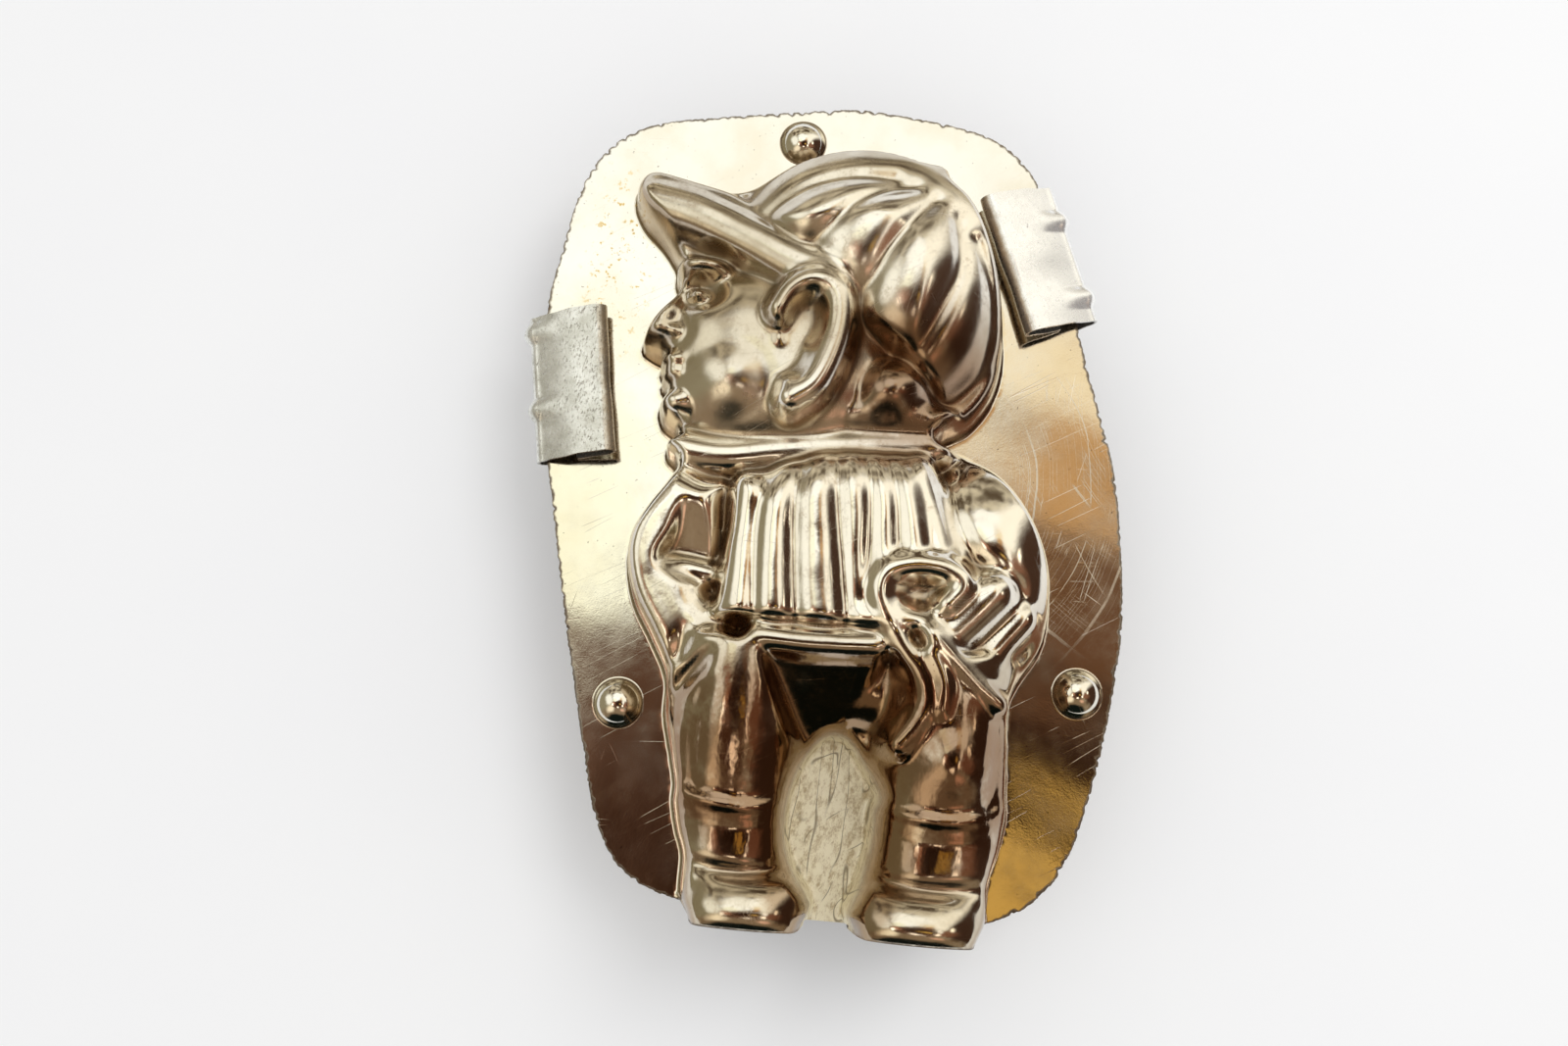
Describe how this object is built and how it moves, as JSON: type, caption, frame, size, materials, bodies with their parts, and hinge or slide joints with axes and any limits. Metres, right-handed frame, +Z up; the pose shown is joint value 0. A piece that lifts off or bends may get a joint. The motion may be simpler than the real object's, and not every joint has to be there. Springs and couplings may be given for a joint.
{
  "type": "chocolate mould",
  "caption": "Pressed metal chocolate mould of a standing figure in a peaked cap: matching halves with flat flanges, domed register studs and spring clips.",
  "frame": {"origin": "on the surface that the mould lies on, under the middle of its bounding box", "axes": "+Z up, out of the front relief; +Y from the open soles towards the cap; +X to the right as seen from above the front relief"},
  "size_m": [0.1156, 0.1544, 0.0465],
  "materials": {
    "front_sheet": "worn nickel plate on steel, scratched, with brown tarnish in the hollows and a dark cut edge",
    "rear_sheet": "worn nickel plate on steel, duller than the front",
    "left_clip_strip": "dull zinc-grey spring strip, speckled with dark pits and a rust spot",
    "right_clip_strip": "dull zinc-grey spring strip, cleaner and brighter than the left one"
  },
  "bodies": {
    "halves": {"rear_half": "rear_sheet", "front_half": "front_sheet"},
    "left_spring": {"left_clip": "left_clip_strip"},
    "right_spring": {"right_clip": "right_clip_strip"}
  },
  "joints": [
    {"name": "left_clip_slide", "type": "slide", "parent": "halves", "child": "left_spring", "axis": [-0.9854, -0.1702, 0], "range_m": [0, 0.022]},
    {"name": "right_clip_slide", "type": "slide", "parent": "halves", "child": "right_spring", "axis": [0.9336, 0.3584, 0], "range_m": [0, 0.022]}
  ]
}
